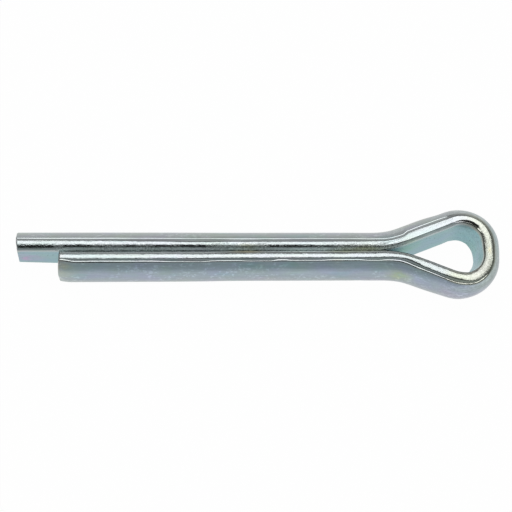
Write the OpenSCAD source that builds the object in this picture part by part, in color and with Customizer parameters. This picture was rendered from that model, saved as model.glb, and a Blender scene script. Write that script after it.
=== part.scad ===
// Cotter pin (split pin) for a 5 mm hole, folded from one length of half-round wire.
//
// The closed shank lies along X, on the axis of the hole. The origin is on that axis, where
// the flare under the eye comes to sit on the rim of the hole. +X points to the eye, and the
// plane of the eye is XY, so the pin lies as it does on a table: on the flat land that
// runs round one side of the wire. All sizes are in millimetres.

/* [Wire] */
// Diameter of the closed shank, over the backs of both legs
shank_d = 4.5; // [4:0.05:4.6]
// Width of the wire, between the two flat lands on its sides
wire_w = 3.9; // [3.4:0.05:4.2]
// Radius of the two edges of the flat face
edge_r = 0.25; // [0.1:0.05:0.5]

/* [Legs] */
// Diameter of the hole that the pin is made for
hole_d = 5; // [4.8:0.05:5.4]
// Length of the short leg, from the rim of the hole to its end
short_leg = 31.4; // [16:0.2:50]
// How far the long leg runs past the short leg
long_leg_extra = 3.7; // [2:0.1:4]
// Gap between the flat faces of the two legs
leg_gap = 0.1; // [0.06:0.02:0.4]
// Bevel that the shear leaves on the back of the short leg's end
short_bevel = 0.35; // [0.1:0.05:0.8]
// Bevel on the back of the long leg's end
long_bevel = 0.15; // [0.1:0.05:0.8]

/* [Eye] */
// Height of the opening of the eye, between its two flat faces
eye_opening = 4.52; // [4:0.04:5.2]
// Radius of the flat face round the two shoulders of the eye
shoulder_r = 1.7; // [1.2:0.05:1.9]
// Radius of the flat face round the blunt end of the eye
end_r = 3.7; // [3:0.05:5]
// Radius of the flat face in the neck, where each leg opens into the eye
neck_r = 9; // [5:0.25:12]
// Slope of the sides of the eye: rise over slanted length
side_slope = 0.352; // [0.28:0.004:0.4]

/* [Hidden] */
$fn = 96;

half_d = shank_d / 2;
wire_t = half_d - leg_gap / 2;
slant = asin(side_slope);
// Where the shoulder passes into the blunt end: the angle of that face from the X axis
shoulder_y = eye_opening / 2 - shoulder_r;
blunt = asin(shoulder_y / (end_r - shoulder_r));
// Straight side of the eye, between the end of the neck and the start of the shoulder
side_rise = shoulder_y + shoulder_r * cos(slant) - leg_gap / 2 - neck_r * (1 - cos(slant));
side_l = side_rise / side_slope;
// Length along X from the start of the neck to the middle of the blunt end's arc
eye_x = neck_r * sin(slant) + side_l * cos(slant) + shoulder_r * sin(slant)
      - (end_r - shoulder_r) * cos(blunt);
// Length along X from the start of the neck to the rim of the hole: the back of the wire
// curves out at the radius left between the flat face and the middle of the neck's arc
back_r = neck_r - wire_t;
seat_rise = hole_d / 2 - half_d;
seat_x = sqrt(back_r * back_r - pow(back_r - seat_rise, 2));
// Half-height of a core hidden in each joint, which makes neighbouring lengths of wire overlap
core = wire_t / 4;
room = 4 * (eye_opening + shank_d);

// Section of the wire. The flat face is on x = 0, the round back reaches x = wire_t, and the
// lands are at y = +wire_w / 2 and -wire_w / 2. Each land meets the back in a sharp crease.
module wire_section() {
  intersection() {
    translate([-leg_gap / 2, 0]) circle(half_d);
    union() {
      translate([edge_r, -wire_w / 2]) square([wire_t, wire_w]);
      translate([0, edge_r - wire_w / 2]) square([wire_t, wire_w - 2 * edge_r]);
      for (side = [-1, 1])
        translate([edge_r, side * (wire_w / 2 - edge_r)]) circle(edge_r);
    }
  }
}

// Lengths of wire start at the origin and run along +X, with the flat face on y = 0 and the
// round back towards +Y.
module straight(length) {
  rotate([90, 0, 90]) linear_extrude(length) wire_section();
}

// Moves what follows to the end of a bend. The middle of the bend is r below the flat face,
// or above it where r is negative, and the wire turns clockwise by the angle.
module after_bend(r, angle) {
  translate([0, -r, 0]) rotate([0, 0, -angle]) translate([0, r, 0]) children();
}

// Keeps what lies between the start of a bend and its end.
module trimmed_bend(r, angle) {
  intersection() {
    children();
    translate([0, -room, -room]) cube(2 * room);
    after_bend(r, angle) translate([-2 * room, -room, -room]) cube(2 * room);
  }
}

// Bend with the flat face inside.
module inward_bend(r, angle) {
  trimmed_bend(r, angle)
    translate([0, -r, 0]) rotate_extrude() translate([r, 0]) wire_section();
}

// Bend with the round back inside.
module outward_bend(r, angle) {
  trimmed_bend(-r, -angle)
    translate([0, r, 0]) rotate_extrude() translate([r, 0]) mirror([1, 0]) wire_section();
}

// Core across a joint, inside the wire.
module joint_core() {
  translate([-core, core, -core]) cube(2 * core);
}

// Leg, with the back of its end bevelled.
module leg(length, bevel) {
  difference() {
    straight(length);
    translate([length, wire_t - bevel, 0]) rotate([0, 0, 45])
      translate([0, -room / 2, -room / 2]) cube(room);
  }
}

// One half of the pin, from the middle of the eye's blunt end, round the shoulder, down the
// straight side, through the neck and along the leg.
module half_pin(leg_l, bevel) {
  shoulder = 90 - blunt + slant;
  inward_bend(end_r, blunt);
  after_bend(end_r, blunt) {
    joint_core();
    inward_bend(shoulder_r, shoulder);
    after_bend(shoulder_r, shoulder) {
      joint_core();
      straight(side_l);
      translate([side_l, 0, 0]) {
        joint_core();
        outward_bend(neck_r, slant);
        after_bend(-neck_r, -slant) {
          joint_core();
          leg(leg_l - seat_x, bevel);
        }
      }
    }
  }
}

module cotter_pin() {
  color("LightSteelBlue")
    translate([eye_x - seat_x, 0, 0]) {
      translate([end_r, 0, 0]) rotate([0, 0, -90])
        mirror([1, 0, 0]) half_pin(short_leg + long_leg_extra, long_bevel);
      translate([end_r, 0, 0]) rotate([0, 0, -90]) half_pin(short_leg, short_bevel);
    }
}

cotter_pin();
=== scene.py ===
"""Looks of the cotter pin: one length of half-round wire, zinc plated, folded back on itself."""

import math

import bpy
import numpy as np
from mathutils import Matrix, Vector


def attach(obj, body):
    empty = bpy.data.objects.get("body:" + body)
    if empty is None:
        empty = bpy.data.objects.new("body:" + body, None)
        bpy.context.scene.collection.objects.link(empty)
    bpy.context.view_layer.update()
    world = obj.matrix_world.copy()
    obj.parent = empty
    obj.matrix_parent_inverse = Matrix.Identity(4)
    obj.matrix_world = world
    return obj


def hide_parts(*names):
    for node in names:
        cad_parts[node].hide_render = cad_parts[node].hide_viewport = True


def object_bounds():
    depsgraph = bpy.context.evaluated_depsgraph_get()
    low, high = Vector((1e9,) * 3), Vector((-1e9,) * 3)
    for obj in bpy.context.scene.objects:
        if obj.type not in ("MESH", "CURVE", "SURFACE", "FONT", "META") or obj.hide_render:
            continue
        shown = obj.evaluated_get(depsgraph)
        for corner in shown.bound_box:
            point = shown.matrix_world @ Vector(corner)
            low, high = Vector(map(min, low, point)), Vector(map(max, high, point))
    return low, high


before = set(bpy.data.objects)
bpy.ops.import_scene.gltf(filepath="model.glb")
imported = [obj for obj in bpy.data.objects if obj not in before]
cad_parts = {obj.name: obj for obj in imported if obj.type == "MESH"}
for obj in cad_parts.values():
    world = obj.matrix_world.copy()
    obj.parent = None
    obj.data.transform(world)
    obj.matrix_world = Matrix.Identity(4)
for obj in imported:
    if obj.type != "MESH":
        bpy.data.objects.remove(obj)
cad_low, cad_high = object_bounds()

MM = 0.001
scene = bpy.context.scene
scene.view_settings.view_transform = "Standard"

# ---------------------------------------------------------------- the wire's line
# Lengths in millimetres, angles in degrees. The line lies in the flat face: from the long
# leg's end, along the leg, through the neck, round the eye and back to the short leg's end.
# The run is the distance along it. The long leg is the one towards +Y.
LONG_TIP_X = cad_low.x / MM
OVERHANG = 3.84             # of the long leg past the short one
SHORT_TIP_X = LONG_TIP_X + OVERHANG
LONG_NECK_X = -2.2          # where the long leg starts to bend into the eye
NECK_R = 8.55
LONG_SIDE_SLOPE = 20.4      # of the eye's two straight sides, from the legs
SHORT_SIDE_SLOPE = 21.3
LONG_SIDE_LENGTH = 5.21     # of the straight side that belongs to the long leg
LONG_SHOULDER_R = 1.74
SHORT_SHOULDER_R = 1.91
END_R = 4.42                # the blunt end, and its arc on each side of its middle
LONG_END = 9.5
SHORT_END = 11.4
SPARE_LEG = 34.0            # more than the short leg needs, which is cut off at its tip
TRIAL_SIDE = 3.0            # a first guess at the side that belongs to the short leg
BEND_EASE = 0.16            # how softly one bend passes into the next
LINE_STEP = 0.01
# The legs spring apart in two steps, each as (x where it begins, its length, how far each leg)
LEGS_PART = [(-3.0, 1.5, 0.015), (-14.0, 8.0, 0.027)]


def bends(side_length):
    """The stretches of the line, each as (name, length, turn in radians, to the left)."""
    rad = math.radians
    long_shoulder = rad(90 + LONG_SIDE_SLOPE - LONG_END)
    short_shoulder = rad(90 + SHORT_SIDE_SLOPE - SHORT_END)
    return [
        ("long_leg", LONG_NECK_X - LONG_TIP_X, 0.0),
        ("long_neck", NECK_R * rad(LONG_SIDE_SLOPE), rad(LONG_SIDE_SLOPE)),
        ("long_side", LONG_SIDE_LENGTH, 0.0),
        ("long_shoulder", LONG_SHOULDER_R * long_shoulder, -long_shoulder),
        ("end", END_R * rad(LONG_END + SHORT_END), -rad(LONG_END + SHORT_END)),
        ("short_shoulder", SHORT_SHOULDER_R * short_shoulder, -short_shoulder),
        ("short_side", side_length, 0.0),
        ("short_neck", NECK_R * rad(SHORT_SIDE_SLOPE), rad(SHORT_SIDE_SLOPE)),
        ("short_leg", SPARE_LEG, 0.0),
    ]


def bent_line(stretches):
    """The heading is the running sum of curvature, eased by a short bell. The place is the
    running sum of (cos, sin) of the heading. Returns the run, x, y and heading of each point,
    and the run at which each stretch starts."""
    names, lengths, turns = zip(*stretches)
    ends = np.cumsum([0.0, *lengths])
    fine_run = np.arange(0, ends[-1], LINE_STEP)
    curvature = np.zeros_like(fine_run)
    for start, length, turn in zip(ends, lengths, turns):
        inside = (fine_run >= start) & (fine_run < start + length)
        curvature[inside] = turn / max(int(inside.sum()), 1) / LINE_STEP
    reach = np.arange(-4 * BEND_EASE, 4 * BEND_EASE + LINE_STEP / 2, LINE_STEP)
    bell = np.exp(-0.5 * (reach / BEND_EASE) ** 2)
    curvature = np.convolve(curvature, bell / bell.sum(), mode="same")
    turned = np.cumsum(curvature) * LINE_STEP
    x = np.cumsum(np.cos(turned)) * LINE_STEP
    y = np.cumsum(np.sin(turned)) * LINE_STEP
    return fine_run, x + LONG_TIP_X, y, turned, dict(zip(names, ends))


def closed_line():
    """The side on the short leg is as long as it takes for the two legs to meet: a trial line
    misses by some height, and each millimetre of the side makes up sin(slope) of it."""
    trial = bent_line(bends(TRIAL_SIDE))
    side = TRIAL_SIDE - trial[2][-1] / math.sin(math.radians(SHORT_SIDE_SLOPE))
    return bent_line(bends(side))


def eased(value, low, high):
    """0 below low, 1 above high, and the smooth step q * q * (3 - 2 * q) in between."""
    q = np.clip((value - low) / (high - low), 0, 1)
    return q * q * (3 - 2 * q)


def along(at_run, marks):
    """A size that passes through the values in marks, a list of (run, value), by the same
    smooth step from each mark to the next."""
    at, value = np.array(marks).T
    i = np.clip(np.searchsorted(at, at_run) - 1, 0, len(at) - 2)
    q = np.clip((at_run - at[i]) / (at[i + 1] - at[i]), 0, 1)
    return value[i] + (value[i + 1] - value[i]) * q * q * (3 - 2 * q)


fine_run, fine_x, fine_y, fine_heading, STARTS = closed_line()
LONG_NECK, LONG_SIDE, LONG_SHOULDER = STARTS["long_neck"], STARTS["long_side"], STARTS["long_shoulder"]
SHORT_SHOULDER, SHORT_SIDE = STARTS["short_shoulder"], STARTS["short_side"]
SHORT_NECK, SHORT_LEG = STARTS["short_neck"], STARTS["short_leg"]
END_RUN = SHORT_LEG + (fine_x[fine_run >= SHORT_LEG][0] - SHORT_TIP_X)
# Places round the blunt end of the eye, as seen from above with +Y upwards
UPPER_RIGHT = LONG_SHOULDER + 2.05
EYE_MIDDLE = STARTS["end"] + END_R * math.radians(LONG_END)
LOWER_RIGHT = SHORT_SHOULDER + 0.7
BOTTOM_RIGHT = SHORT_SHOULDER + 1.85
BOTTOM = SHORT_SHOULDER + 2.95

# The ends as they were cut, each size as (long leg's, short leg's)
END_ROUND = (0.13, 0.22)        # round from the end face to the lands
CORNER_REACH = (0.2, 1.1)       # the back's corner is taken off, so far along the leg
CORNER_DEPTH = (0.12, 0.3)      # and so deep
DRAWN_IN = (0.2, 0.0)           # share by which the underside is drawn in at the tip
FACE_OUT = (-0.075, -0.035)     # the face leans along the leg, for each millimetre outward
FACE_UP = (0.065, 0.0)          # and for each millimetre upward
FACE_AT = (-0.04, 0.045)        # and stands here at the middle of the flat face
CHIP = (0.07, 0.0)              # a shallow chip where the face meets the upper land
CHIP_N, CHIP_Z = (0.2, 0.8), (1.4, 1.8)     # the stretches of n and z over which it deepens
RIM_ROUND = 0.04                # round from the end faces to the flat face and the back
DRAWN_LENGTH = 3.7              # how far from the tip the underside starts to draw in
FACE_LENGTH = 2.0               # the lean of the face fades out over this length

# Stations along the wire, closer together at the ends and round the eye
LEG_STEP, EYE_STEP, TIP_STEP = 0.2, 0.066, 0.09
EYE_MARGIN, TIP_MARGIN = 1.5, 1.2
LONG_ROUND_STEPS, SHORT_ROUND_STEPS = 6, 8
run = np.concatenate([
    END_ROUND[0] * (1 - np.cos(np.linspace(0, math.pi / 2, LONG_ROUND_STEPS, endpoint=False))),
    np.arange(END_ROUND[0], TIP_MARGIN, TIP_STEP),
    np.arange(TIP_MARGIN, LONG_NECK - EYE_MARGIN, LEG_STEP),
    np.arange(LONG_NECK - EYE_MARGIN, SHORT_LEG + EYE_MARGIN, EYE_STEP),
    np.arange(SHORT_LEG + EYE_MARGIN, END_RUN - TIP_MARGIN, LEG_STEP),
    np.arange(END_RUN - TIP_MARGIN, END_RUN - END_ROUND[1], TIP_STEP),
    END_RUN - END_ROUND[1] * (1 - np.cos(np.linspace(math.pi / 2, 0, SHORT_ROUND_STEPS))),
])
line_x, line_y = np.interp(run, fine_run, fine_x), np.interp(run, fine_run, fine_y)
heading = np.interp(run, fine_run, fine_heading)
outward = np.stack([-np.sin(heading), np.cos(heading)], 1)
parting = sum(gap * eased(begin - line_x, 0, length) for begin, length, gap in LEGS_PART)
line_x, line_y = line_x + outward[:, 0] * parting, line_y + outward[:, 1] * parting

# ---------------------------------------------------------------- the wire's section
# In the section n points outward from the flat face, and z up. Tilts are in degrees: how far
# a surface leans outward, away from the flat face, as seen on the land.
WIRE_W = 3.9
WIRE_MIDDLE = 0.4               # the wire is turned about this share of its thickness
HALF_THICK = 1.1                # about half its thickness
TOOL_MARK = LONG_SHOULDER + 0.3
# How each size changes along the wire, as (run, value)
MARKS = {
    # from the flat face to the top of the back
    "thick": [
        (0, 2.28), (LONG_NECK, 2.26), (LONG_SIDE + 0.8, 2.29), (LONG_SIDE + 2.3, 2.28),
        (LONG_SHOULDER, 2.08), (LONG_SHOULDER + 1.0, 2.04), (UPPER_RIGHT, 2.065),
        (UPPER_RIGHT + 0.7, 2.04), (EYE_MIDDLE, 1.93), (EYE_MIDDLE + 0.4, 1.9),
        (LOWER_RIGHT, 2.01), (BOTTOM_RIGHT, 1.97), (BOTTOM, 2.0), (SHORT_NECK - 1.2, 2.16),
        (SHORT_LEG, 2.28), (SHORT_LEG + 14, 2.285), (SHORT_LEG + 17, 2.34),
        (SHORT_LEG + 21, 2.36), (END_RUN, 2.37)],
    # how far the whole section is moved outward
    "shift": [
        (0, 0.0), (LONG_NECK, 0.0), (LONG_SIDE + 0.8, -0.13), (LONG_SIDE + 2.3, -0.1),
        (LONG_SHOULDER - 1.2, -0.07), (LONG_SHOULDER, -0.02), (EYE_MIDDLE - 0.3, -0.03),
        (EYE_MIDDLE + 0.5, -0.02), (LOWER_RIGHT, -0.11), (BOTTOM_RIGHT, -0.05), (BOTTOM, -0.03),
        (SHORT_NECK - 1.2, -0.07), (SHORT_LEG, 0.0), (SHORT_LEG + 0.9, 0.0),
        (SHORT_LEG + 2.4, -0.025), (SHORT_LEG + 14, -0.03), (SHORT_LEG + 17, -0.055),
        (SHORT_LEG + 21, -0.075), (END_RUN, -0.08)],
    # from the flat face to the crease, where the back begins
    "crease": [
        (0, 1.26), (8, 1.26), (12, 1.235), (16, 1.2), (LONG_NECK - 3, 1.2), (LONG_NECK, 1.19),
        (LONG_SIDE - 0.7, 1.06), (LONG_SIDE + 0.2, 1.03), (LONG_SIDE + 0.8, 1.19),
        (LONG_SIDE + 2.3, 1.2), (LONG_SHOULDER - 1.2, 1.18), (LONG_SHOULDER, 1.08),
        (UPPER_RIGHT, 1.08), (EYE_MIDDLE - 0.3, 1.05), (EYE_MIDDLE + 0.7, 0.99),
        (LOWER_RIGHT, 1.03), (BOTTOM_RIGHT, 1.25), (BOTTOM, 1.25), (SHORT_NECK - 1.2, 1.22),
        (SHORT_NECK + 1.5, 1.06), (SHORT_LEG, 1.12), (SHORT_LEG + 3, 1.12),
        (SHORT_LEG + 14, 1.14), (SHORT_LEG + 17, 1.195), (SHORT_LEG + 21, 1.225),
        (END_RUN - 1.6, 1.24), (END_RUN - 0.2, 1.08)],
    # width of the strip between the land and the crease
    "strip": [
        (0, 0.33), (8, 0.36), (12, 0.42), (16, 0.44), (20, 0.41), (LONG_NECK - 3, 0.4),
        (LONG_NECK - 1, 0.38), (LONG_NECK + 0.5, 0.34), (LONG_SIDE + 0.8, 0.34),
        (LONG_SHOULDER - 1.2, 0.4), (LONG_SHOULDER, 0.36), (EYE_MIDDLE, 0.26),
        (LOWER_RIGHT, 0.2), (BOTTOM_RIGHT, 0.29), (BOTTOM, 0.49), (SHORT_NECK - 2.5, 0.4),
        (SHORT_NECK - 1.2, 0.42), (SHORT_NECK - 0.3, 0.5), (SHORT_NECK + 0.6, 0.5),
        (SHORT_NECK + 1.5, 0.42), (SHORT_LEG + 3, 0.35), (END_RUN - 1.6, 0.38),
        (END_RUN - 0.2, 0.3)],
    # how far the section is turned about the wire, its back downwards
    "twist": [
        (0, 0.0), (LONG_NECK, 0.0), (LONG_SIDE + 1, 5.5), (LONG_SHOULDER + 1, 5.5),
        (EYE_MIDDLE, 4.2), (LOWER_RIGHT, 9.5), (BOTTOM_RIGHT, 5.0), (BOTTOM, 0.0),
        (END_RUN, 0.0)],
    # size of the edge between the flat face and the land
    "edge": [
        (0, 0.33), (3, 0.33), (4, 0.48), (LONG_NECK, 0.44), (LONG_NECK + 1.6, 0.35),
        (LONG_SIDE + 0.8, 0.29), (LONG_SHOULDER - 0.2, 0.29), (LONG_SHOULDER + 0.3, 0.12),
        (UPPER_RIGHT, 0.16), (EYE_MIDDLE, 0.34), (LOWER_RIGHT, 0.36), (BOTTOM_RIGHT, 0.4),
        (BOTTOM, 0.4), (SHORT_NECK + 1.5, 0.42), (SHORT_LEG + 3, 0.5), (SHORT_LEG + 14, 0.5),
        (SHORT_LEG + 17, 0.45), (END_RUN, 0.46)],
    # 0 where that edge is round, 1 where it is a bevel, and the bevel's tilt
    "bevel": [
        (0, 0.0), (LONG_SIDE - 1.0, 0.0), (LONG_SIDE + 0.8, 1.0), (LONG_SHOULDER - 0.2, 1.0),
        (LONG_SHOULDER + 0.3, 0.0), (SHORT_LEG + 14, 0.0), (SHORT_LEG + 17, 1.0), (END_RUN, 1.0)],
    "bevel_tilt": [(0, -40.0), (LONG_SHOULDER, -40.0), (SHORT_LEG, -32.0), (END_RUN, -32.0)],
    # tilt of the land beside the edge and beside the strip
    "lean_in": [
        (0, -17.0), (3, -17.0), (4, -4.0), (LONG_NECK, -3.0), (LONG_SIDE + 1, -2.0),
        (LONG_SHOULDER, -1.0), (EYE_MIDDLE, -10.0), (BOTTOM_RIGHT, -13.0), (SHORT_SIDE, -11.3),
        (END_RUN, -11.3)],
    "lean_out": [
        (0, 11.3), (LONG_NECK, 10), (LONG_SIDE + 1, 3.5), (LONG_SHOULDER, 3.0),
        (EYE_MIDDLE, 6.0), (LOWER_RIGHT, -2.0), (BOTTOM_RIGHT, 0.0), (BOTTOM, 1.5),
        (END_RUN, 2.7)],
    # 1 where the strip has a raised line beside the crease, 0 where it is plainly rounded
    "lined": [
        (0, 1.0), (LONG_SHOULDER - 1.0, 1.0), (LONG_SHOULDER + 0.5, 0.0),
        (LOWER_RIGHT - 0.2, 0.0), (LOWER_RIGHT + 0.6, 1.0), (END_RUN, 1.0)],
    # size of the raised line, as a share of its full form, and the tilt taken off it
    "line": [
        (0, 0.55), (3, 0.7), (8, 0.7), (12, 0.5), (18, 0.45), (21.5, 0.65), (23, 0.5),
        (23.8, 0.6), (26, 0.4), (30, 0.4), (31.5, 0.45), (LONG_NECK, 0.6), (LONG_SIDE, 0.6),
        (LONG_SHOULDER, 0.6), (LOWER_RIGHT, 0.9), (BOTTOM_RIGHT, 1.0), (BOTTOM, 0.85),
        (SHORT_NECK + 1.5, 1.2), (SHORT_LEG - 1.6, 1.1), (SHORT_LEG - 0.4, 1.1),
        (SHORT_LEG + 0.4, 0.8), (SHORT_LEG + 1.2, 0.8), (SHORT_LEG + 2.6, 1.15),
        (SHORT_LEG + 4.6, 1.15), (SHORT_LEG + 6.0, 0.8), (SHORT_LEG + 8.4, 0.9),
        (SHORT_LEG + 9.0, 1.25), (SHORT_LEG + 9.6, 1.25), (SHORT_LEG + 10.4, 0.6),
        (SHORT_LEG + 12.4, 0.55), (SHORT_LEG + 13.4, 0.9), (SHORT_LEG + 15.6, 0.9),
        (SHORT_LEG + 16.8, 0.55), (SHORT_LEG + 19, 0.7), (SHORT_LEG + 21.6, 1.2),
        (END_RUN, 1.3)],
    "line_lean": [
        (0, 0.0), (LONG_NECK, 0.0), (LONG_SIDE + 1, 5.5), (LONG_SHOULDER + 1, 5.5),
        (EYE_MIDDLE, 5.0), (LOWER_RIGHT, 7.0), (BOTTOM_RIGHT, 7.0), (BOTTOM, 1.0),
        (END_RUN, 0.0)],
    # how far the whole section is lifted
    "lift": [(0, 0.0), (SHORT_SIDE, 0.0), (SHORT_LEG, 0.07), (END_RUN, 0.04)],
    # a tool mark pressed into the land beside the edge: the share of the land's width that it
    # takes, and the tilt of its floor
    "mark": [
        (0, 0.0), (TOOL_MARK - 0.35, 0.0), (TOOL_MARK - 0.2, 0.22), (TOOL_MARK + 0.3, 0.38),
        (TOOL_MARK + 0.9, 0.44), (TOOL_MARK + 1.6, 0.36), (TOOL_MARK + 2.1, 0.05),
        (EYE_MIDDLE - 0.3, 0.05), (EYE_MIDDLE + 0.6, 0.12), (LOWER_RIGHT, 0.14),
        (BOTTOM_RIGHT, 0.05), (BOTTOM, 0.0), (END_RUN, 0.0)],
    "mark_lean": [
        (0, -12.0), (TOOL_MARK + 0.3, -12.0), (TOOL_MARK + 0.9, -15.0), (UPPER_RIGHT, -22),
        (EYE_MIDDLE, -30.0), (LOWER_RIGHT, -30.0), (BOTTOM, -20.0), (END_RUN, -15.0)],
    # how much the long leg's land is rubbed beside its edge
    "worn": [
        (0, 0.0), (3.4, 0.0), (3.6, 1.0), (4.2, 0.9), (4.5, 0.05), (5.8, 0.1), (6.4, 0.45),
        (7.2, 0.6), (8.4, 0.8), (9.6, 0.8), (10.1, 0.2), (10.8, 0.2), (11.3, 0.8),
        (12.2, 0.75), (12.9, 0.45), (14.6, 0.45), (15.2, 0.25), (16.6, 0.25), (17.6, 0.6),
        (18.5, 1.0), (22.8, 1.0), (23.6, 0.25), (26.4, 0.25), (27.2, 0.55), (28.2, 0.55),
        (28.6, 0.3), (29.3, 0.9), (34, 0.9), (35.5, 0.6), (37, 0.0), (END_RUN, 0.0)],
}
sizes = {name: along(run, marks) for name, marks in MARKS.items()}
MARK_WALL = 0.05                # half the width of the mark's wall, as a share of the land's
WORN_N = (0.5, 0.75)            # the rubbed band beside the edge fades out over this n
# Tilts across the strip. The surface falls away from the land, as (share of the fall, tilt),
# then runs level along the fine raised line and turns down into the back, as (millimetres
# past the fall, tilt). Where the line is missing, the whole strip is a plain rounding.
FALL = [(0.1, 16), (0.3, 20), (0.5, 27), (0.75, 29), (0.9, 20), (1.0, 9)]
LINE = [(0.02, 2), (0.06, -2), (0.095, 0), (0.12, 7), (0.15, 14), (0.18, 24)]
ROUNDING = [(0.0, 5), (0.35, 15), (1.0, 24)]
LINE_W = LINE[-1][0]
# Radius round the edge, as a share of its size: least, and how much more at its widest. A
# bevel is widest at its own tilt, within this many degrees.
EDGE_LEAST, EDGE_MORE = 0.2, 1.9
BEVEL_LEAST, BEVEL_MORE, BEVEL_SPREAD = 0.15, 3.1, 10
# Columns of the grid on each zone of half the section
FLAT, EDGE, LAND, STRIP, BACK = range(5)
COLUMNS = [4, 13, 14, len(FALL) + len(LINE), 24]


def section(s):
    """Half of the section at every station, from the middle of the flat face to the top of
    the round back.
    Flat: a straight line.
    Edge: it turns from the flat face to the land's first tilt. A round edge has the radius
    edge * (least + more * cos^4 tilt), so that it is tightest at the flat face. A bevelled
    one has edge * (least + more * exp(-((tilt - bevel_tilt) / spread)^2)).
    Land: its tilt changes evenly from lean_in to lean_out, save where the mark is pressed.
    Strip: the tilts listed above.
    Back: a circular arc from the crease to the top.
    Heights are minus the running sum of the tilt's tangent. Returns n, z and each column's zone."""
    thick, crease, strip = s["thick"], s["crease"], s["strip"]
    lean_in, lean_out = np.radians(s["lean_in"]), np.radians(s["lean_out"])
    zero = np.zeros_like(crease)
    tilt = -math.pi / 2 + (lean_in + math.pi / 2) * np.linspace(0, 1, COLUMNS[EDGE])[None]
    middle = (tilt[:, 1:] + tilt[:, :-1]) / 2
    rounded = EDGE_LEAST + EDGE_MORE * np.cos(middle) ** 4
    off_bevel = (middle - np.radians(s["bevel_tilt"])) / math.radians(BEVEL_SPREAD)
    bevelled = BEVEL_LEAST + BEVEL_MORE * np.exp(-off_bevel ** 2)
    arc = s["edge"] * (rounded + (bevelled - rounded) * s["bevel"]) * np.diff(tilt, axis=1)
    edge_n = np.concatenate([zero, np.cumsum(arc * np.cos(middle), 1)], 1)
    edge_z = np.concatenate([zero, np.cumsum(-arc * np.sin(middle), 1)], 1)

    q = np.linspace(0, 1, COLUMNS[LAND] + 1)[None]
    land_n = edge_n[:, -1:] + (crease - strip - edge_n[:, -1:]) * q
    land_tilt = lean_in + (lean_out - lean_in) * q
    taken = s["mark"]
    pressed = eased(taken, 0, 2 * MARK_WALL) * (1 - eased(q, taken - MARK_WALL, taken + MARK_WALL))
    land_tilt = land_tilt + (np.radians(s["mark_lean"]) - land_tilt) * pressed

    fall_at, fall_tilt = np.array(FALL).T
    line_at, line_tilt = np.array(LINE).T
    fall = strip - LINE_W * s["line"]
    strip_n = crease - strip + np.concatenate([fall * fall_at, fall + line_at * s["line"]], 1)
    plain_tilt = np.interp((strip_n - crease + strip) / strip, *np.array(ROUNDING).T)
    lined_tilt = np.concatenate([fall_tilt + zero, line_tilt - s["line_lean"]], 1)
    strip_tilt = np.radians(plain_tilt + (lined_tilt - plain_tilt) * s["lined"])

    top_n = np.concatenate([land_n, strip_n], 1)
    slope = np.tan(np.concatenate([land_tilt, strip_tilt], 1))
    steps = -(slope[:, 1:] + slope[:, :-1]) / 2 * np.diff(top_n, axis=1)
    top_z = edge_z[:, -1:] + np.concatenate([zero, np.cumsum(steps, 1)], 1)
    flat_z = WIRE_W / 2 - top_z.max(1, keepdims=True)
    crease_z = flat_z + top_z[:, -1:]
    centre = (thick * thick - crease * crease - crease_z * crease_z) / (2 * (thick - crease))
    radius = thick - centre
    angle = np.arctan2(crease_z, crease - centre) * np.linspace(1, 0, COLUMNS[BACK] + 1)[None, 1:]
    flat_q = np.linspace(0, 1, COLUMNS[FLAT], endpoint=False)[None]
    n = np.concatenate([zero * flat_q, edge_n, top_n[:, 1:], centre + radius * np.cos(angle)], 1)
    z = np.concatenate([flat_z * flat_q, flat_z + edge_z, flat_z + top_z[:, 1:], radius * np.sin(angle)], 1)
    return n, z, np.repeat([FLAT, EDGE, LAND, STRIP, BACK], COLUMNS)


def end_cut(n, z, middle):
    """The ends as cut. A round of radius r takes r - sqrt(r^2 - (r - distance)^2) off the
    section. The back's corner is taken off by depth * (1 - distance / reach)^2 * facing^5,
    where facing is 1 straight outward from the wire's middle. The underside of the long leg is
    drawn in evenly towards its tip. Returns n, z and the shift along the leg, by which the end
    faces lean."""
    short = (run > END_RUN / 2)[:, None]
    distance = np.where(short, END_RUN - run[:, None], run[:, None])

    def of_end(pair):
        return np.where(short, pair[1], pair[0])

    def near(length):
        return np.clip(1 - distance / length, 0, 1)

    def taken_off(radius):
        return radius - np.sqrt(radius ** 2 - np.clip(radius - distance, 0, None) ** 2)

    n = middle + (n - middle) * (1 - taken_off(RIM_ROUND) / HALF_THICK)
    z = z * (1 - taken_off(of_end(END_ROUND)) / (WIRE_W / 2))
    radius = np.hypot(n - middle, z)
    facing = np.clip((n - middle) / radius, 0, 1)
    pull = 1 - of_end(CORNER_DEPTH) * near(of_end(CORNER_REACH)) ** 2 * facing ** 5 / radius
    n, z = middle + (n - middle) * pull, z * pull
    z = np.where(z < 0, z * (1 - of_end(DRAWN_IN) * near(DRAWN_LENGTH)), z)
    chip = of_end(CHIP) * eased(z, *CHIP_Z) * eased(n, *CHIP_N)
    lean = of_end(FACE_OUT) * n + of_end(FACE_UP) * z + of_end(FACE_AT) - chip
    return n, z, lean * near(FACE_LENGTH)


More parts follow.
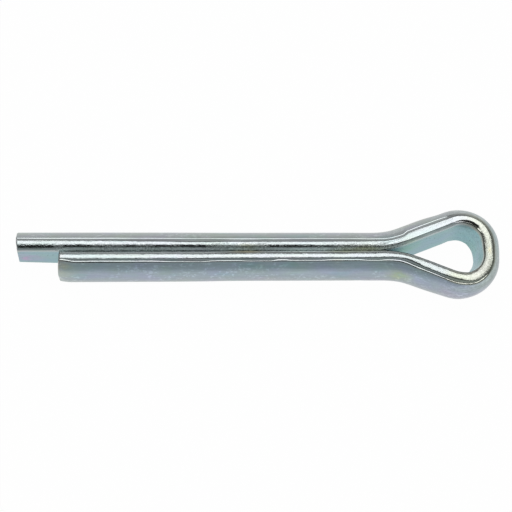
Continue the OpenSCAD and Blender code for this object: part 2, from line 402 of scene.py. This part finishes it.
def wire_surface():
    """The whole wire as one grid: rows are stations along the line, columns go round the
    section. Each section is turned about the wire's middle by its twist, cut at the ends, and
    set square to the line: place = line + outward * n + upward * z."""
    s = {name: values[:, None] for name, values in sizes.items()}
    n, z, zone = section(s)
    n = np.concatenate([n, n[:, -2:0:-1]], 1)
    z = np.concatenate([z, -z[:, -2:0:-1]], 1)
    zone = np.concatenate([zone, zone[-2:0:-1]])
    wire_space = np.stack([run[:, None] + 0 * n, n, z], -1)
    middle = WIRE_MIDDLE * s["thick"]
    cos, sin = np.cos(np.radians(s["twist"])), np.sin(np.radians(s["twist"]))
    turned_n = middle + (n - middle) * cos + z * sin
    turned_z = -(n - middle) * sin + z * cos
    cut_n, cut_z, lean = end_cut(turned_n, turned_z, middle)
    cut_n = cut_n + s["shift"]
    place = np.stack([line_x[:, None] + outward[:, :1] * cut_n + lean,
                      line_y[:, None] + outward[:, 1:] * cut_n,
                      cut_z + s["lift"]], -1)
    return place, wire_space, zone


place, wire_space, zone = wire_surface()
rows, cols = place.shape[:2]


def grid_faces():
    """Quads between neighbouring stations; the last column joins the first."""
    i, j = np.meshgrid(np.arange(rows - 1), np.arange(cols), indexing="ij")
    k = (j + 1) % cols
    return np.stack([i * cols + j, (i + 1) * cols + j, (i + 1) * cols + k, i * cols + k], -1).reshape(-1, 4)


faces = grid_faces().tolist()
faces.append(list(range(cols)))
faces.append([(rows - 1) * cols + j for j in range(cols)][::-1])
mesh = bpy.data.meshes.new("folded_wire")
mesh.from_pydata((place.reshape(-1, 3) * MM).tolist(), [], faces)
mesh.update()
mesh.polygons.foreach_set("use_smooth", np.ones(len(mesh.polygons), bool))


def attribute(name, values):
    """A value, or three, for every point of the grid, for the finish to read."""
    vector = values.ndim == 3
    layer = mesh.attributes.new(name, "FLOAT_VECTOR" if vector else "FLOAT", "POINT")
    whole = np.broadcast_to(values, place.shape if vector else (rows, cols))
    layer.data.foreach_set("vector" if vector else "value", whole.astype(np.float32).ravel())


# Where a point is on the wire: run, n and z. Then the faces that it is on. The edges on the
# underside count as flat face.
under = (zone == EDGE) & (np.arange(cols) > cols / 2)
beside_edge = np.isin(zone, (EDGE, LAND))
attribute("wire_space", wire_space)
attribute("flat", ((zone == FLAT) | under)[None].astype(float))
attribute("land", (np.isin(zone, (EDGE, LAND, STRIP)) & ~under)[None].astype(float))
attribute("strip", (zone == STRIP)[None].astype(float))
# The rubbed places and the tool mark, and the eye's blunt end
attribute("worn", sizes["worn"][:, None] * beside_edge * (1 - eased(wire_space[..., 1], *WORN_N)))
attribute("mark", eased(sizes["mark"], 0, 2 * MARK_WALL)[:, None] * beside_edge)
attribute("rim", (eased(run, LONG_SHOULDER - 0.5, LONG_SHOULDER + 2.2)
                  * (1 - eased(run, SHORT_SIDE - 0.2, SHORT_SIDE + 1.5)))[:, None])
# The back from the blunt end to the short leg, which turns to the near side, less so below
attribute("near", (zone == BACK) * eased(run, EYE_MIDDLE - 0.5, BOTTOM + 1)[:, None]
          * (1 - 0.6 * eased(-wire_space[..., 2], -1.0, 0.2)))
wire = bpy.data.objects.new("folded_wire", mesh)
scene.collection.objects.link(wire)
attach(wire, "root")
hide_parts("cotter_pin")


# ---------------------------------------------------------------- finish
class Nodes:
    """Short way to add nodes and join their sockets."""

    def __init__(self, tree):
        self.tree = tree

    def add(self, kind, inputs=None, **settings):
        node = self.tree.nodes.new(kind)
        for name, setting in settings.items():
            setattr(node, name, setting)
        for name, value in (inputs or {}).items():
            self.put(node.inputs[name], value)
        return node

    def put(self, socket, value):
        if isinstance(value, bpy.types.NodeSocket):
            self.tree.links.new(value, socket)
        else:
            socket.default_value = value

    def math(self, operation, a, b=0.0):
        """One sum on a and b; some operations take a alone."""
        return self.add("ShaderNodeMath", {0: a, 1: b}, operation=operation).outputs[0]

    def times(self, a, b):
        return self.math("MULTIPLY", a, b)

    def plus(self, a, b):
        return self.math("ADD", a, b)

    def minus(self, a, b):
        return self.math("SUBTRACT", a, b)

    def mix(self, share, a, b, blend_type="MIX"):
        """Colour a with a share of b. Sockets 0, 6 and 7 are the factor and the two colours."""
        node = self.add("ShaderNodeMix", data_type="RGBA", blend_type=blend_type)
        for i, value in ((0, share), (6, a), (7, b)):
            self.put(node.inputs[i], value)
        return node.outputs[2]

    def tinted(self, colour, tint, share):
        """The colour times a share of the tint."""
        return self.mix(share, colour, (*TINTS[tint], 1), "MULTIPLY")

    def range(self, value, low, high, at_low, at_high, smooth=True):
        """at_low where the value is low, at_high where it is high, and between them in between."""
        return self.add("ShaderNodeMapRange", {0: value, 1: low, 2: high, 3: at_low, 4: at_high},
                        interpolation_type="SMOOTHSTEP" if smooth else "LINEAR").outputs[0]

    def noise(self, vector, scale, detail=2.0, rough=0.5, seed=0.0):
        """Noise on wire_space; scale is features per millimetre along, out and across."""
        place = self.add("ShaderNodeMapping", {"Vector": vector, "Scale": scale,
                                               "Location": (seed, seed * 1.7, seed * 0.6)},
                         vector_type="POINT").outputs[0]
        return self.add("ShaderNodeTexNoise", {"Vector": place, "Scale": 1.0, "Detail": detail,
                                               "Roughness": rough}).outputs[0]

    def field(self, name, output="Fac"):
        return self.add("ShaderNodeAttribute", attribute_name=name).outputs[output]


# Bare colour of the plate on each face
BACK_ZINC = (0.352, 0.382, 0.387, 1)
NEAR_ZINC = (0.35, 0.412, 0.458, 1)
FLAT_ZINC = (0.23, 0.385, 0.415, 1)
RIM_ZINC = (0.372, 0.387, 0.34, 1)
# Tints which multiply the colour: of the thin film on the zinc, and painted highlights, painted warm light
# and painted shade
TINTS = {
    "yellow": (1.12, 1.12, 0.66), "olive": (0.98, 0.98, 0.68), "brown": (1.12, 1.0, 0.78),
    "moss": (1.02, 1.0, 0.66), "straw": (1.3, 1.2, 0.7), "rust": (1.06, 0.9, 0.68),
    # sand and cream are painted warm light, which brightens the metal at the short leg's end
    "painted warm light": (1.26, 1.13, 0.95), "painted warm highlight": (1.2, 1.08, 0.9), "sallow": (0.97, 1.03, 0.9),
    "pink": (1.12, 0.95, 1.02), "lilac": (1.02, 0.96, 1.08), "blush": (1.2, 0.95, 1.1),
    "heather": (1.2, 0.92, 1.04), "mauve": (1.25, 0.88, 1.12), "rose": (1.35, 0.84, 1.0),
    "plum": (0.9, 0.84, 0.87), "blue": (0.92, 1.02, 1.16), "cool": (1.04, 1.09, 1.14),
    "teal": (0.86, 1.02, 0.98), "deep teal": (0.62, 0.8, 0.78), "green": (0.8, 1.0, 0.8),
    # dim, on this line, and shade, on the next, are painted shade, which darkens the metal's colour
    "slate": (0.8, 0.92, 0.92), "dull": (0.94, 0.98, 0.92), "dim": (0.86, 0.85, 0.85),
    "shade": (0.5, 0.5, 0.5), "milky": (1.12, 1.12, 1.14), "pale": (1.2, 1.14, 1.2),
    # The four tints on these two lines are painted highlights, which brighten the metal's colour where
    # highlights are painted
    "light": (1.3, 1.3, 1.3), "lighter": (1.45, 1.45, 1.45), "painted highlight": (1.75, 1.8, 1.78),
    "white": (1.8, 1.8, 1.78),
}
# Film that lies in broad clouds, as (tint, noise, its value where the film starts, its value
# where the film is full, strength)
CLOUDS = [
    ("lilac", "cloud", 0.5, 0.68, 0.8),
    ("sallow", "cloud", 0.5, 0.34, 0.6),
    ("teal", "tinge", 0.5, 0.68, 0.7),
]
# Patches in millimetres on the wire: (run, n, z, reach along, out and across, strength, tint)
PATCHES = [
    # the long leg's end
    (0.7, 0.0, -0.5, 0.6, 0.5, 0.9, 1.0, "rose"),
    (1.6, 0.0, 0.1, 0.9, 0.5, 0.6, 1.0, "mauve"),
    (0.2, 0.0, 0.2, 2.2, 0.5, 2.2, 1.0, "blush"),
    (1.4, 0.0, -0.5, 2.4, 0.5, 1.8, 1.0, "heather"),
    (2.6, 0.0, -0.8, 0.7, 0.5, 0.8, 0.8, "teal"),
    (3.4, 0.0, -1.0, 1.2, 0.5, 1.4, 0.5, "teal"),
    (0.0, 0.2, 1.4, 0.5, 0.4, 0.5, 1.0, "straw"),
    (0.6, 0.0, 1.6, 2.4, 0.6, 0.6, 0.7, "dull"),
    # painted highlight on the land near the long leg's end
    (4.3, 0.0, 1.8, 0.9, 0.25, 0.4, 1.0, "painted highlight"),
    # the long leg: its back, then its land
    (8.6, 2.0, 0.8, 1.8, 0.6, 0.9, 0.7, "lilac"),
    (18.0, 2.0, 0.7, 9.0, 0.6, 0.9, 1.0, "cool"),
    (19.4, 2.0, 0.8, 2.6, 0.6, 0.9, 1.0, "teal"),
    (29.5, 2.0, 0.8, 2.6, 0.6, 0.9, 0.6, "teal"),
    (33.1, 2.2, 0.5, 0.5, 0.4, 0.6, 0.8, "pink"),
    # painted highlight on the long leg's land
    (20.1, 0.6, 1.95, 1.3, 0.7, 0.5, 1.0, "light"),
    (21.2, 0.35, 1.8, 1.4, 0.5, 0.6, 0.8, "olive"),
    # painted highlight along the long leg's land beside the edge
    (27.0, 0.05, 1.9, 4.2, 0.3, 0.4, 1.0, "painted highlight"),
    (32.0, 0.15, 1.75, 3.6, 0.5, 0.7, 1.0, "moss"),
    # painted highlight on the long leg's land
    (34.6, 0.35, 1.8, 1.5, 0.35, 0.4, 0.8, "painted highlight"),
    # the eye's side and shoulder on the long leg
    (LONG_SIDE + 2.5, 2.0, 0.6, 3.5, 0.8, 1.4, 0.8, "pink"),
    (LONG_SIDE + 0.6, 0.0, 0.8, 2.2, 0.4, 2.2, 0.9, "green"),
    # painted highlight along the land of the eye's long side
    (LONG_SIDE + 2.4, 0.1, 1.8, 4.4, 0.3, 0.35, 1.0, "white"),
    (LONG_SHOULDER + 1.6, 1.9, 0.5, 1.6, 0.7, 1.2, 0.7, "pink"),
    # painted shadow on the flat face below the tool mark
    (TOOL_MARK + 0.8, 0.0, 1.5, 1.3, 0.4, 1.0, 1.0, "shade"),
    # the blunt end
    # painted shade: a dark line beside the crease at the blunt end
    (UPPER_RIGHT + 0.2, 0.98, 1.65, 1.8, 0.22, 0.4, 0.5, "shade"),
    # painted shade along the inner edge round the blunt end
    (EYE_MIDDLE - 0.2, 0.0, 1.72, 3.2, 0.16, 0.3, 1.0, "shade"),
    (EYE_MIDDLE + 0.3, 0.5, 1.9, 0.5, 0.25, 0.4, 0.7, "brown"),
    # painted shade along the inner edge past the blunt end's middle
    (EYE_MIDDLE + 0.9, 0.1, 1.8, 2.4, 0.35, 0.35, 1.0, "shade"),
    # painted shade on the back of the blunt end
    (EYE_MIDDLE + 0.9, 1.6, 0.9, 2.0, 0.7, 0.9, 0.8, "dim"),
    (EYE_MIDDLE + 0.9, 0.0, 0.6, 1.6, 0.3, 2.4, 1.0, "deep teal"),
    (EYE_MIDDLE + 1.2, 0.0, -0.5, 1.2, 0.3, 2.4, 0.6, "slate"),
    # painted highlight beside the crease at the blunt end's bottom right
    (BOTTOM_RIGHT, 1.2, 1.6, 2.0, 0.4, 0.5, 1.0, "lighter"),
    # the eye's side and neck on the short leg
    (SHORT_SIDE + 0.2, 1.8, 0.5, 1.3, 0.7, 1.2, 0.8, "pink"),
    (SHORT_SIDE + 2.6, 1.5, 1.0, 1.6, 0.7, 0.8, 0.8, "blue"),
    (SHORT_NECK + 1.2, 1.95, 0.8, 2.2, 0.8, 1.2, 1.0, "yellow"),
    # painted shade: a dark line beside the crease at the short leg's neck
    (SHORT_NECK + 2.2, 1.2, 1.55, 2.4, 0.17, 0.4, 1.0, "shade"),
    # the short leg: its land, then its crease and back
    (SHORT_LEG + 3.2, 0.15, 1.8, 3.2, 0.35, 0.5, 0.8, "olive"),
    # painted highlight on the short leg's land
    (SHORT_LEG + 6.8, 0.05, 1.9, 4.4, 0.3, 0.4, 1.0, "painted highlight"),
    (SHORT_LEG + 8.6, 0.85, 1.8, 2.2, 0.3, 0.5, 0.8, "pink"),
    (SHORT_LEG + 12.6, 0.12, 1.8, 2.2, 0.35, 0.6, 1.0, "rust"),
    (SHORT_LEG + 17.9, 0.95, 1.8, 1.6, 0.3, 0.5, 0.8, "pink"),
    # painted highlight along the short leg's land beside the edge
    (SHORT_LEG + 22.0, 0.0, 1.8, 10.0, 0.17, 0.4, 1.0, "painted highlight"),
    (SHORT_LEG + 3.0, 1.25, 1.5, 3.4, 0.35, 0.5, 1.0, "pale"),
    (SHORT_LEG + 4.2, 1.1, 1.6, 0.9, 0.5, 0.6, 0.6, "brown"),
    (SHORT_LEG + 7.0, 1.85, 1.0, 5.5, 0.45, 0.6, 1.0, "milky"),
    (SHORT_LEG + 10.6, 2.2, 0.3, 1.8, 0.25, 0.6, 0.8, "pink"),
    (SHORT_LEG + 15.0, 1.9, 0.8, 2.6, 0.4, 0.6, 0.7, "blue"),
    (SHORT_LEG + 19.0, 2.2, 0.3, 2.0, 0.25, 0.6, 0.9, "pink"),
    (SHORT_LEG + 20.0, 1.3, 1.45, 8.0, 0.45, 0.6, 1.0, "plum"),
    (SHORT_LEG + 23.5, 1.75, 1.0, 1.6, 0.5, 0.6, 0.9, "lilac"),
    # the short leg's end
    # painted warm light over the short leg's end: the next two patches
    (END_RUN, 1.5, 1.0, 2.2, 1.6, 2.2, 1.0, "painted warm light"),
    (END_RUN - 0.1, 1.3, 1.5, 1.8, 0.7, 0.7, 1.0, "painted warm highlight"),
    # painted highlight on the land at the short leg's end
    (END_RUN - 0.3, 0.0, 1.8, 1.0, 0.25, 0.4, 1.0, "painted highlight"),
]


def patch(N, space, centre, reach):
    """1 at the centre, falling smoothly to 0 at the given reach: distance = |(p - c) / r|."""
    offset = N.add("ShaderNodeVectorMath", {0: space, 1: centre}, operation="SUBTRACT").outputs[0]
    offset = N.add("ShaderNodeVectorMath", {0: offset, 1: reach}, operation="DIVIDE").outputs[0]
    distance = N.add("ShaderNodeVectorMath", {0: offset}, operation="LENGTH").outputs["Value"]
    return N.range(distance, 0.0, 1.0, 1.0, 0.0)


def film_and_painted_light_colour(N, space, on):
    """The bare colour of each face, times the clouds of film, which are half as strong on the land,
    times the patches of film, painted highlight, painted warm light and painted shade, which blotches break
    up."""
    colour = N.mix(on["near"], BACK_ZINC, NEAR_ZINC)
    colour = N.mix(on["flat"], colour, FLAT_ZINC)
    colour = N.mix(N.times(on["rim"], on["land"]), colour, RIM_ZINC)
    noises = {"cloud": N.noise(space, (0.35, 0.8, 0.8), detail=3, seed=21),
              "tinge": N.noise(space, (0.28, 0.9, 0.9), detail=3, seed=47)}
    film = N.minus(1.0, N.times(on["land"], 0.5))
    for tint, noise, start, full, strength in CLOUDS:
        colour = N.tinted(colour, tint, N.times(N.range(noises[noise], start, full, 0, strength), film))
    blotch = N.noise(space, (0.9, 1.4, 1.4), detail=4, rough=0.6, seed=63)
    for at_run, at_n, at_z, *reach, strength, tint in PATCHES:
        share = N.times(patch(N, space, (at_run, at_n, at_z), reach), N.range(blotch, 0.3, 0.6, 0.3, 1))
        colour = N.tinted(colour, tint, N.times(share, strength))
    return colour


def light_and_dark(N, space, on):
    """About 1 all over: long streaks and fine specks, stronger where the land is rubbed and on
    the blunt end, plus handling marks on the back in loose clusters, less pits in the flat face."""
    back = N.minus(1.0, N.plus(on["flat"], on["land"]))
    streak = N.noise(space, (0.5, 9, 9), detail=3, seed=8)
    speck = N.range(N.noise(space, (7, 7, 7), detail=2, rough=0.6, seed=29), 0.4, 0.6, -1, 1, smooth=False)
    specked = N.plus(N.times(on["worn"], 0.3), N.plus(N.times(on["rim"], 0.09), 0.02))
    value = N.plus(N.range(streak, 0.3, 0.7, 0.93, 1.07, smooth=False), N.times(speck, specked))
    fleck = N.range(N.noise(space, (2.6, 4.5, 4.5), detail=4, rough=0.65, seed=91), 0.52, 0.6, 0, 1)
    cluster = N.range(N.noise(space, (0.5, 0.9, 0.9), detail=2, seed=17), 0.45, 0.58, 0.15, 1)
    value = N.plus(value, N.times(N.times(fleck, cluster), N.times(back, 0.3)))
    pit = N.range(N.noise(space, (4.2, 4.2, 4.2), detail=2, rough=0.5, seed=33), 0.66, 0.71, 0, 1)
    return N.minus(value, N.times(N.times(pit, on["flat"]), 0.5))


def relief(N, space, on, rubbed):
    """Height in micrometres: drawing lines all over, ragged waves on the pressed land, which
    are weaker on the strip, on the blunt end and in the tool mark, and hammered grain."""
    drawn = N.times(N.noise(space, (0.35, 7, 7), detail=3, seed=3), 4.0)
    waves = N.minus(N.times(on["land"], 19.0), N.times(on["strip"], 15.0))
    ragged = N.times(N.noise(space, (3.2, 5.5, 5.5), detail=5, rough=0.7, seed=11), waves)
    ragged = N.times(ragged, N.minus(1.0, N.times(on["rim"], 0.45)))
    ragged = N.times(ragged, N.minus(1.0, N.times(on["mark"], 0.8)))
    coarse = N.plus(N.times(on["rim"], 7.0), N.plus(N.times(rubbed, 20.0), 0.6))
    grain = N.times(N.noise(space, (9, 9, 9), detail=2, seed=5), coarse)
    return N.plus(drawn, N.plus(ragged, grain))


def zinc_plate():
    """Bright zinc on drawn wire. wire_space holds (run, n, z) in millimetres."""
    material = bpy.data.materials.new("zinc_plate")
    material.use_nodes = True
    tree = material.node_tree
    tree.nodes.clear()
    N = Nodes(tree)
    space = N.field("wire_space", "Vector")
    on = {name: N.field(name) for name in ("flat", "land", "strip", "rim", "near", "worn", "mark")}

    value = light_and_dark(N, space, on)
    grey = N.add("ShaderNodeCombineColor", {0: value, 1: value, 2: value}).outputs[0]
    colour = N.mix(1.0, film_and_painted_light_colour(N, space, on), grey, "MULTIPLY")

    # The rubbed places come in dashes
    dash = N.noise(space, (1.3, 2.5, 2.5), detail=3, rough=0.6, seed=77)
    dash = N.range(N.plus(dash, N.times(on["worn"], 0.5)), 0.62, 0.82, 0, 1)
    rubbed = N.times(on["worn"], dash)
    height = relief(N, space, on, rubbed)
    normal = N.add("ShaderNodeBump", {"Strength": 1.0, "Distance": 1e-6, "Height": height}).outputs[0]

    # The land is the smoothest, less so on the blunt end and where it is rubbed
    rough = N.plus(0.3, N.times(on["land"], -0.18))
    rough = N.plus(rough, N.times(N.times(on["rim"], on["land"]), 0.06))
    rough = N.plus(rough, N.times(rubbed, 0.17))
    shader = N.add("ShaderNodeBsdfPrincipled", {"Base Color": colour, "Metallic": 1.0,
                                                "Roughness": rough, "Normal": normal})
    N.add("ShaderNodeOutputMaterial", {"Surface": shader.outputs[0]})
    return material


mesh.materials.append(zinc_plate())

# ---------------------------------------------------------------- stage
# The stage is measured in metres.
FLOOR_Z = cad_low.z - 0.02 * MM
FLOOR_REACH = 6.0
SHEET_WHITE = (0.9, 0.9, 0.9, 1)
SHEET_GLOW = 0.985          # share of plain white in what the camera and reflections see
SOFTBOX_TILT = 28           # from overhead towards +Y
SOFTBOX_DISTANCE = 0.5
SOFTBOX_SIZE = (0.58, 0.25)
SOFTBOX_RADIANCE = 2.4


def floor():
    """One large flat sheet, just under the pin."""
    r = FLOOR_REACH
    corners = [(-r, -r, FLOOR_Z), (r, -r, FLOOR_Z), (r, r, FLOOR_Z), (-r, r, FLOOR_Z)]
    sheet_mesh = bpy.data.meshes.new("floor")
    sheet_mesh.from_pydata(corners, [], [(0, 1, 2, 3)])
    sheet = bpy.data.objects.new("floor", sheet_mesh)
    scene.collection.objects.link(sheet)
    sheet_mesh.materials.append(white_sheet())


def white_sheet():
    """Pale paper that takes a shadow, and looks near white to the camera and in reflections."""
    material = bpy.data.materials.new("white_sheet")
    material.use_nodes = True
    tree = material.node_tree
    tree.nodes.clear()
    N = Nodes(tree)
    rays = N.add("ShaderNodeLightPath").outputs
    seen = N.math("MAXIMUM", rays["Is Camera Ray"],
                  N.math("MAXIMUM", rays["Is Glossy Ray"], rays["Is Transmission Ray"]))
    paper = N.add("ShaderNodeBsdfDiffuse", {"Color": SHEET_WHITE})
    white = N.add("ShaderNodeEmission", {"Color": (1, 1, 1, 1), "Strength": 1.0})
    both = N.add("ShaderNodeMixShader", {0: N.times(seen, SHEET_GLOW), 1: paper.outputs[0],
                                         2: white.outputs[0]})
    N.add("ShaderNodeOutputMaterial", {"Surface": both.outputs[0]})
    return material


floor()


def softbox():
    """A soft panel on the far side. Its power is radiance times pi times its area."""
    light = bpy.data.lights.new("softbox", "AREA")
    light.shape = "RECTANGLE"
    light.size, light.size_y = SOFTBOX_SIZE
    light.energy = SOFTBOX_RADIANCE * math.pi * SOFTBOX_SIZE[0] * SOFTBOX_SIZE[1]
    panel = bpy.data.objects.new("softbox", light)
    tilt = math.radians(SOFTBOX_TILT)
    panel.location = (0.0, SOFTBOX_DISTANCE * math.sin(tilt), SOFTBOX_DISTANCE * math.cos(tilt))
    panel.rotation_euler = (-tilt, 0, 0)
    scene.collection.objects.link(panel)


softbox()

# World light, as (degrees from overhead, grey or colour), on the far and on the near side
FAR_SIDE = [(0, 0.01), (13, 0.01), (36, 0.2), (50, 0.25), (63, 0.45), (74, 0.8), (180, 0.9)]
NEAR_SIDE = [(0, 0.01), (14, 0.02), (28, (0.47, 0.52, 0.52)), (64, (0.49, 0.54, 0.54)),
             (82, (0.75, 0.79, 0.80)), (92, 0.95), (180, 0.95)]
DIMMED_ENDS = 0.62          # strength of the light from +X and -X, along the pin


def studio():
    """World light by the angle from overhead: a dark gap overhead, pale at the horizon, and
    mid grey between them, more of it on the near side."""
    world = bpy.data.worlds.new("studio")
    scene.world = world
    world.use_nodes = True
    tree = world.node_tree
    tree.nodes.clear()
    N = Nodes(tree)
    ray = N.add("ShaderNodeTexCoord").outputs["Generated"]
    x, y, z = N.add("ShaderNodeSeparateXYZ", {0: ray}).outputs
    angle = N.times(N.math("ARCCOSINE", z), 1 / math.pi)
    level = N.math("MAXIMUM", N.math("SQRT", N.minus(1.0, N.times(z, z))), 0.001)
    near = N.range(N.math("DIVIDE", y, level), 0.25, -0.45, 0.0, 1.0)
    sideways = N.math("ABSOLUTE", N.math("DIVIDE", x, level))
    strength = N.range(sideways, 0.5, 0.95, 1.0, DIMMED_ENDS)

    def by_angle(stops):
        ramp = N.add("ShaderNodeValToRGB", {0: angle})
        elements = ramp.color_ramp.elements
        elements.remove(elements[1])
        for i, (degrees, light) in enumerate(stops):
            element = elements[0] if i == 0 else elements.new(degrees / 180)
            element.position = degrees / 180
            element.color = (*light, 1) if isinstance(light, tuple) else (light, light, light, 1)
        return ramp.outputs[0]

    light = N.mix(near, by_angle(FAR_SIDE), by_angle(NEAR_SIDE))
    back = N.add("ShaderNodeBackground", {"Color": light, "Strength": strength})
    N.add("ShaderNodeOutputWorld", {"Surface": back.outputs[0]})


studio()

# ---------------------------------------------------------------- camera
# Lengths in millimetres, angles in degrees
CAMERA_DISTANCE = 112.5     # from the point looked at
CAMERA_TILT, CAMERA_PAN, CAMERA_ROLL = 19.39, 2.86, 1.08
LOOKED_AT = np.array([-13.24, 0.0, 0.0])
OFF_CENTRE = (-0.214, -0.0895)      # where that point lies from the middle of the view
SENSOR, LENS = 36, 84.375


def camera():
    """Looks down on the pin, tilted towards the near side: location = point looked at +
    rotation * (-off_centre, distance)."""
    data = bpy.data.cameras.new("camera")
    data.sensor_width = SENSOR
    data.lens = LENS
    data.clip_start, data.clip_end = 0.005, 50
    cam = bpy.data.objects.new("camera", data)
    scene.collection.objects.link(cam)
    cam.rotation_mode = "ZXY"
    cam.rotation_euler = (math.radians(CAMERA_TILT), -math.radians(CAMERA_PAN), -math.radians(CAMERA_ROLL))
    rotation = np.array(cam.rotation_euler.to_matrix())
    offset = rotation @ np.array([-OFF_CENTRE[0], -OFF_CENTRE[1], CAMERA_DISTANCE])
    cam.location = (offset + LOOKED_AT) * MM
    scene.camera = cam


camera()
